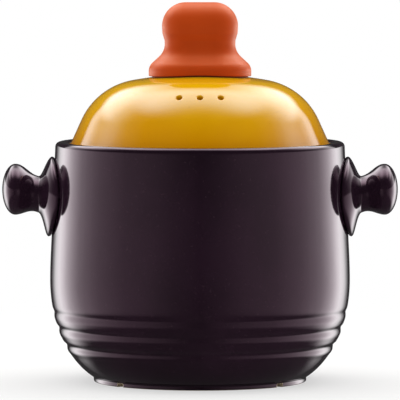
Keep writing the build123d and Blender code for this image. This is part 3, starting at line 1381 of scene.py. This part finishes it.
        flat = crown.at(lengths[middle] + offset[..., 0], depth[..., 0])
        angle = 2 * np.pi * place / self.columns + offset[..., 1] / middle_radius
        points = np.stack(
            [flat[..., 0] * np.cos(angle), flat[..., 0] * np.sin(angle), flat[..., 1]], axis=-1
        )
        count = len(along)
        numbers = first_new + np.arange(points.shape[0] * count).reshape(-1, count)
        outer_edge = (rows[0] + along) * self.columns + (place + across) % self.columns
        inner_edge = (rows[1] - along) * self.columns + (place + across) % self.columns
        loops = np.vstack([outer_edge, numbers, inner_edge])
        following = np.roll(loops, -1, axis=1)
        faces = np.stack([loops[:-1], following[:-1], following[1:], loops[1:]], axis=-1)
        return points.reshape(-1, 3), faces.reshape(-1, 4)

    def build(self) -> bpy.types.Object:
        """Turn the closed outline, open the windows and fit the steam holes into them.

        Returns:
            The lid.
        """
        outline, outer_row, inner_row = self.outline()
        angles = np.linspace(0, 2 * np.pi, self.columns, endpoint=False)
        points = [turned(outline, angles).reshape(-1, 3)]
        quads = grid_faces(len(outline), self.columns, closed_rows=True)
        keep = np.ones(quads.shape[:2], bool)
        front = 3 * self.columns // 4
        step = self.hole_step * self.columns // 360
        places = [front + step * (k - (self.hole_count - 1) // 2) for k in range(self.hole_count)]
        faces = []
        total = len(points[0])
        for place in places:
            columns = np.arange(place - self.window, place + self.window) % self.columns
            for row in (outer_row, inner_row):
                keep[np.ix_(np.arange(row - self.window, row + self.window), columns)] = False
            new_points, new_faces = self.vent(place, (outer_row, inner_row), total)
            points.append(new_points)
            faces.append(new_faces)
            total += len(new_points)
        piece = make_piece("lid_glazed", np.vstack(points), np.vstack([quads[keep], *faces]))
        paint_mask(piece, "bare", self.bare_clay)
        return piece

    def bare_clay(self, place: np.ndarray) -> np.ndarray:
        """Find the bare clay: under the flange and down the outside of the skirt.

        Args:
            place: points in millimetres, one a row.

        Returns:
            1 on bare clay and 0 on glaze.
        """
        outside_skirt = np.hypot(place[:, 0], place[:, 1]) > self.skirt_radius - self.wiped_beside
        under_flange = place[:, 2] < self.pot.ledge_height + self.wiped_height
        return (under_flange & outside_skirt).astype(float)


@dataclass
class Knob:
    """The oblong moulded knob: a turned outline whose two halves stand apart along X."""

    lid: Lid
    rise: float = 48.0
    stretch: float = 9.5
    crown_drop: float = 10.5
    crown_radius: float = 14.9
    crown_rounding: float = 8.0
    waist_radius: float = 13.8
    waist_rise: float = 15.5
    brim_radius: float = 24.7
    brim_rise: float = 5.4
    brim_drop: float = 3.2
    waist_cut: float = 5.0
    brim_cut: float = 3.1
    seat_gap: float = 1.0
    under_rounding: float = 0.6
    end_columns: int = 72
    side_columns: int = 10
    dome_rows: int = 60
    edge_rows: int = 5
    under_rows: int = 14
    step: float = 0.7

    def seat_height(self, x: np.ndarray, y: np.ndarray) -> np.ndarray:
        """Work out the height of the knob's hollow underside.

        It is part of a sphere that runs level with the dome, a seat's gap above it.

        Args:
            x: the points' x.
            y: the points' y.

        Returns:
            The height at each point.
        """
        crown = self.lid.crown
        centre = crown.top - crown.arc_radius
        return centre + np.sqrt((crown.arc_radius + self.seat_gap) ** 2 - x**2 - y**2)

    def build(self) -> bpy.types.Object:
        """Carry the outline round the two ends and along the straight sides.

        A column has a middle on the X axis and a bearing: x = middle + radius cos and
        y = radius sin. Rows of the brim's edge are spread between its top and the seat.

        Returns:
            The knob.
        """
        top = self.lid.top
        crown = Crown(
            top=top + self.rise,
            corner_radius=self.crown_radius,
            corner_drop=self.crown_drop,
            rounding=self.crown_rounding,
            foot_radius=self.waist_radius,
            foot_height=top + self.waist_rise,
        )
        dome = crown.at(np.linspace(0, crown.full_length, self.dome_rows))
        brim_top = top + self.brim_rise
        brim = legs(
            dome[-1], (self.brim_radius, brim_top), (self.brim_radius, brim_top - self.brim_drop)
        )
        outline = joined([dome, *brim], [self.waist_cut, self.brim_cut], self.step)
        half_turn = np.linspace(-np.pi / 2, np.pi / 2, self.end_columns + 1)
        run = np.linspace(self.stretch, -self.stretch, self.side_columns + 1)[1:-1]
        end, side = np.ones(len(half_turn)), np.ones(len(run))
        middle = np.r_[end * self.stretch, run, end * -self.stretch, -run]
        bearing = np.r_[half_turn, side * np.pi / 2, half_turn + np.pi, side * -np.pi / 2]
        rows = self.edge_rows
        turn = np.radians(np.linspace(0, 90, rows))
        edge_radius = self.brim_radius - self.under_rounding * (1 - np.cos(turn))
        under_radius = np.linspace(edge_radius[-1], 0, self.under_rows)[1:]
        side_radius = np.full(rows, self.brim_radius)
        radius = np.r_[outline[:, 0], side_radius, edge_radius, under_radius][:, None]
        x = middle + radius * np.cos(bearing)
        y = radius * np.sin(bearing)
        seat = self.seat_height(x, y)
        z = np.array(seat)
        first = len(outline)
        z[:first] = outline[:, 1:]
        side_top = outline[-1, 1]
        side_low = seat[first : first + rows] + self.under_rounding
        side_share = np.linspace(0, 1, rows + 1)[1:, None]
        z[first : first + rows] = side_top + side_share * (side_low - side_top)
        edge = slice(first + rows, first + 2 * rows)
        z[edge] = seat[edge] + self.under_rounding * (1 - np.sin(turn))[:, None]
        points = np.stack([x, y, z], axis=-1)
        return make_piece("lid_knob_moulded", points, grid_faces(*points.shape[:2]))


# The studio


@dataclass
class Studio:
    """Floor, lights and camera. None of it is part of the pot.

    Shiny pieces mirror a product studio: dark flags straight behind the pot, tall soft
    boxes behind it on both sides, a large one overhead, and a dark room behind the
    camera. Each level is how bright the studio is in a direction, 1 being white, by its
    angle in degrees from straight behind the pot. Each list of levels takes over between
    two heights of the ray's upright part, from the dark table below to the zenith. The
    upper boxes are dimmer over the pot's middle: by a gap share there, rising to their
    full level where the ray's sideways part reaches `gap_reach`. Places and sizes are
    metres. To the camera the floor shows its own paper near the pot, and plain white
    further off.
    """

    camera_place: tuple[float, float, float] = (0.0, -3.35, 0.32)
    camera_target: tuple[float, float, float] = (0.0, 0.0, 0.121)
    lens: float = 452.4
    sensor_width: float = 36.0
    view_reach: float = 50.0
    floor_radius: float = 4.0
    floor_sides: int = 96
    paper: str = "#F2F1EF"
    paper_fade: tuple[float, float] = (0.1, 0.6)
    paper_white_share: float = 0.55
    ambient: float = 0.66
    light_target: tuple[float, float, float] = (0.0, 0.0, 0.12)
    side_place: tuple[float, float, float] = (1.15, 0.35, 0.35)
    side_size: tuple[float, float] = (1.5, 1.5)
    side_light: float = 0.7
    top_place: tuple[float, float, float] = (0.0, 0.35, 1.3)
    top_size: tuple[float, float] = (1.8, 1.5)
    top_light: float = 1.65
    brightest: float = 6.0
    round_levels: Levels = (
        (0, 0.04), (20, 0.06), (27, 0.9), (34, 2.8), (42, 4.5), (49, 4.6), (56, 3.7),
        (73, 2.0), (95, 1.15), (119, 0.6), (144, 0.38), (162, 0.17), (180, 0.05),
    )
    low_levels: Levels = (
        (0, 0.04), (41, 0.05), (45, 2.3), (51, 2.8), (58, 1.8), (64, 1.3), (80, 0.4),
        (95, 0.1), (110, 0.05), (180, 0.03),
    )
    high_levels: Levels = (
        (0, 0.04), (23, 0.08), (29, 2.6), (37, 5.4), (60, 5.2), (68, 4.2), (78, 2.4),
        (88, 0.9), (96, 0.3), (110, 0.05), (180, 0.02),
    )
    overhead_levels: Levels = (
        (0, 0.04), (18, 0.08), (28, 2.4), (40, 5.4), (65, 6.0), (80, 5.6), (90, 4.6),
        (96, 3.4), (102, 2.0), (108, 0.9), (115, 0.25), (124, 0.06), (180, 0.02),
    )
    table_level: float = 0.1
    table_heights: tuple[float, float] = (-0.58, -0.26)
    low_heights: tuple[float, float] = (0.06, 0.12)
    high_heights: tuple[float, float] = (0.38, 0.54)
    overhead_heights: tuple[float, float] = (0.72, 0.92)
    high_gap: float = 0.12
    overhead_gap: float = 0.7
    gap_reach: float = 0.45

    def camera(self) -> None:
        """Set the camera at the photograph's viewing angle."""
        data = bpy.data.cameras.new("camera")
        data.lens = self.lens
        data.sensor_width = self.sensor_width
        data.clip_end = self.view_reach
        made = bpy.data.objects.new("camera", data)
        made.location = self.camera_place
        look = Vector(self.camera_target) - Vector(self.camera_place)
        made.rotation_euler = look.to_track_quat("-Z", "Y").to_euler()
        bpy.context.scene.collection.objects.link(made)
        bpy.context.scene.camera = made

    def panel(
        self, name: str, place: Sequence[float], size: tuple[float, float], light: float
    ) -> None:
        """Hang a soft light panel that faces the pot and isn't seen or mirrored itself.

        Args:
            name: the light's name.
            place: where its middle is.
            size: its width and height.
            light: how bright its face is, 1 being white.
        """
        data = bpy.data.lights.new(name, "AREA")
        data.shape = "RECTANGLE"
        data.size, data.size_y = size
        data.energy = light * size[0] * size[1] * np.pi
        made = bpy.data.objects.new(name, data)
        made.location = place
        look = Vector(self.light_target) - Vector(place)
        made.rotation_euler = look.to_track_quat("-Z", "Y").to_euler()
        made.visible_camera = False
        made.visible_glossy = False
        bpy.context.scene.collection.objects.link(made)

    def lights(self) -> None:
        """Hang a tall panel on each side and a wide one overhead."""
        aside, behind, up = self.side_place
        for side in Side:
            name = f"{side.name.lower()}_panel"
            self.panel(name, (side.value * aside, behind, up), self.side_size, self.side_light)
        self.panel("top_panel", self.top_place, self.top_size, self.top_light)

    def mirrored(
        self, tree: bpy.types.NodeTree, share: bpy.types.NodeSocket, levels: Levels
    ) -> bpy.types.NodeSocket:
        """Read a list of levels by direction.

        Args:
            tree: the world's node tree.
            share: the angle from straight behind, as a share of half a turn.
            levels: angles in degrees and how bright the studio is there.

        Returns:
            The level in the ray's direction.
        """
        ramp = add_node(tree, "ShaderNodeValToRGB", {"Fac": share})
        stops = ramp.color_ramp.elements
        while len(stops) < len(levels):
            stops.new(1.0)
        for stop, (angle, level) in zip(stops, levels):
            stop.position = angle / 180
            stop.color = (*(level / self.brightest,) * 3, 1)
        scaled = {0: ramp.outputs["Color"], 1: self.brightest}
        return add_node(tree, "ShaderNodeMath", scaled, operation="MULTIPLY").outputs[0]

    def world(self) -> None:
        """Light the studio evenly, show white beyond the floor, and mirror the soft boxes."""
        world = bpy.data.worlds.new("studio")
        world.use_nodes = True
        tree = world.node_tree
        tree.nodes.clear()
        direction = add_node(tree, "ShaderNodeTexCoord").outputs["Generated"]
        axes = add_node(tree, "ShaderNodeSeparateXYZ", {0: direction}).outputs
        upward = {0: axes["Z"], 1: 0.0}
        upward = add_node(tree, "ShaderNodeMath", upward, operation="MAXIMUM").outputs[0]
        raised = {"X": axes["X"], "Y": axes["Y"], "Z": upward}
        raised = add_node(tree, "ShaderNodeCombineXYZ", raised).outputs[0]
        raised = add_node(tree, "ShaderNodeVectorMath", {0: raised}, operation="NORMALIZE").outputs[0]
        behind = add_node(tree, "ShaderNodeSeparateXYZ", {0: raised}).outputs["Y"]
        angle = add_node(tree, "ShaderNodeMath", {0: behind}, operation="ARCCOSINE").outputs[0]
        share = add_node(tree, "ShaderNodeMath", {0: angle, 1: np.pi}, operation="DIVIDE").outputs[0]
        aside = add_node(tree, "ShaderNodeMath", {0: axes["X"]}, operation="ABSOLUTE").outputs[0]
        mirrored = self.table_level
        bands = (
            (self.table_heights, self.round_levels, 1.0),
            (self.low_heights, self.low_levels, 1.0),
            (self.high_heights, self.high_levels, self.high_gap),
            (self.overhead_heights, self.overhead_levels, self.overhead_gap),
        )
        for (start, end), levels, gap in bands:
            above = add_node(
                tree,
                "ShaderNodeMapRange",
                {"Value": axes["Z"], "From Min": start, "From Max": end},
                interpolation_type="SMOOTHSTEP",
            ).outputs["Result"]
            spread = add_node(
                tree,
                "ShaderNodeMapRange",
                {"Value": aside, "From Max": self.gap_reach, "To Min": gap},
                interpolation_type="SMOOTHSTEP",
            ).outputs["Result"]
            level = {0: self.mirrored(tree, share, levels), 1: spread}
            level = add_node(tree, "ShaderNodeMath", level, operation="MULTIPLY").outputs[0]
            blend = {0: above, 2: mirrored, 3: level}
            mirrored = add_node(tree, "ShaderNodeMix", blend).outputs[0]
        ray = add_node(tree, "ShaderNodeLightPath").outputs
        unseen = {0: ray["Is Glossy Ray"], 2: self.ambient, 3: mirrored}
        unseen = add_node(tree, "ShaderNodeMix", unseen).outputs[0]
        seen = {0: ray["Is Camera Ray"], 1: ray["Is Transmission Ray"]}
        seen = add_node(tree, "ShaderNodeMath", seen, operation="MAXIMUM").outputs[0]
        strength = add_node(tree, "ShaderNodeMix", {0: seen, 2: unseen, 3: 1.0}).outputs[0]
        background = add_node(
            tree, "ShaderNodeBackground", {"Color": (1, 1, 1, 1), "Strength": strength}
        )
        add_node(tree, "ShaderNodeOutputWorld", {"Surface": background.outputs["Background"]})
        bpy.context.scene.world = world

    def floor(self) -> None:
        """Lay a round pale floor, plain white where it leaves the pot's shadow behind."""
        ring = np.linspace(0, 2 * np.pi, self.floor_sides, endpoint=False)
        edge = np.stack([np.cos(ring), np.sin(ring), 0 * ring], axis=1) * self.floor_radius
        mesh = bpy.data.meshes.new("floor")
        mesh.from_pydata(edge.tolist(), [], [list(range(len(ring)))])
        floor = bpy.data.objects.new("floor", mesh)
        bpy.context.scene.collection.objects.link(floor)
        material, tree = new_material("white_paper_floor")
        place = add_node(tree, "ShaderNodeTexCoord").outputs["Object"]
        away = add_node(tree, "ShaderNodeVectorMath", {0: place}, operation="LENGTH").outputs["Value"]
        near, far = self.paper_fade
        fade = add_node(
            tree,
            "ShaderNodeMapRange",
            {"Value": away, "From Min": near, "From Max": far, "To Min": self.paper_white_share},
            interpolation_type="SMOOTHSTEP",
        ).outputs["Result"]
        ray = add_node(tree, "ShaderNodeLightPath").outputs
        seen = {0: ray["Is Camera Ray"], 1: ray["Is Transmission Ray"]}
        seen = add_node(tree, "ShaderNodeMath", seen, operation="MAXIMUM").outputs[0]
        share = add_node(tree, "ShaderNodeMath", {0: seen, 1: fade}, operation="MULTIPLY").outputs[0]
        paper = add_node(tree, "ShaderNodeBsdfDiffuse", {"Color": linear(self.paper)})
        white = add_node(tree, "ShaderNodeEmission", {"Color": (1, 1, 1, 1), "Strength": 1.0})
        mixed = {0: share, 1: paper.outputs[0], 2: white.outputs[0]}
        mixed = add_node(tree, "ShaderNodeMixShader", mixed).outputs[0]
        add_node(tree, "ShaderNodeOutputMaterial", {"Surface": mixed})
        mesh.materials.append(material)
        floor.visible_glossy = False

    def build(self) -> None:
        """Set up everything round the pot."""
        self.camera()
        self.world()
        self.floor()
        self.lights()
        bpy.context.scene.view_settings.view_transform = "Standard"


# Assembly


@dataclass
class SandPot:
    """The whole pot: its new pieces, its carried-over ones and their finishes."""

    frame: dict
    pot: Pot = field(default_factory=Pot)

    def place(
        self, piece: bpy.types.Object, body: str, node: str, slot: str, finish: bpy.types.Material
    ) -> None:
        """Dress a new piece and let it stand for its CAD node.

        Args:
            piece: the new piece.
            body: the body that it rides on.
            node: the CAD node that it replaces.
            slot: the record's material slot; not used.
            finish: its material.
        """
        piece.data.materials.append(finish)
        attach(piece, body)
        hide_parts(node)
        LOG.info("%s: %d faces", piece.name, len(piece.data.polygons))

    def dress(self, node: str, finish: bpy.types.Material) -> None:
        """Give a carried-over CAD node its finish.

        Args:
            node: the node's name.
            finish: its material.
        """
        slots = self.frame["nodes"][node].data.materials
        slots.clear()
        slots.append(finish)
        LOG.info("%s: dressed", node)

    def build(self) -> None:
        """Build and dress each piece in order."""
        aubergine = AUBERGINE_GLAZE.material()
        amber = AMBER_GLAZE.material()
        self.place(self.pot.build(), "pot", "pot_body", "aubergine_glaze", aubergine)
        for side in Side:
            handle = LugHandle(self.pot, side).build()
            self.place(handle, "pot", f"{side.name.lower()}_handle", "aubergine_glaze", aubergine)
        lid = Lid(self.pot)
        self.place(lid.build(), "lid", "lid", "amber_glaze", amber)
        self.place(Knob(lid).build(), "lid", "lid_knob", "orange_satin", SatinMoulding().material())
        rubber = SiliconeRubber().material()
        steel = STAINLESS_STEEL.material()
        brass = TURNED_BRASS.material()
        carried_over = {
            "seat_gasket": rubber,
            "under_gasket": rubber,
            "screw_washer": steel,
            "knob_screw": steel,
            "knob_insert": brass,
        }
        for node, finish in carried_over.items():
            self.dress(node, finish)


def main() -> None:
    """Build the pot and its studio."""
    logging.basicConfig(level=logging.INFO, format="%(name)s: %(message)s")
    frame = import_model()
    Studio().build()
    SandPot(frame).build()


if __name__ == "__main__":
    main()
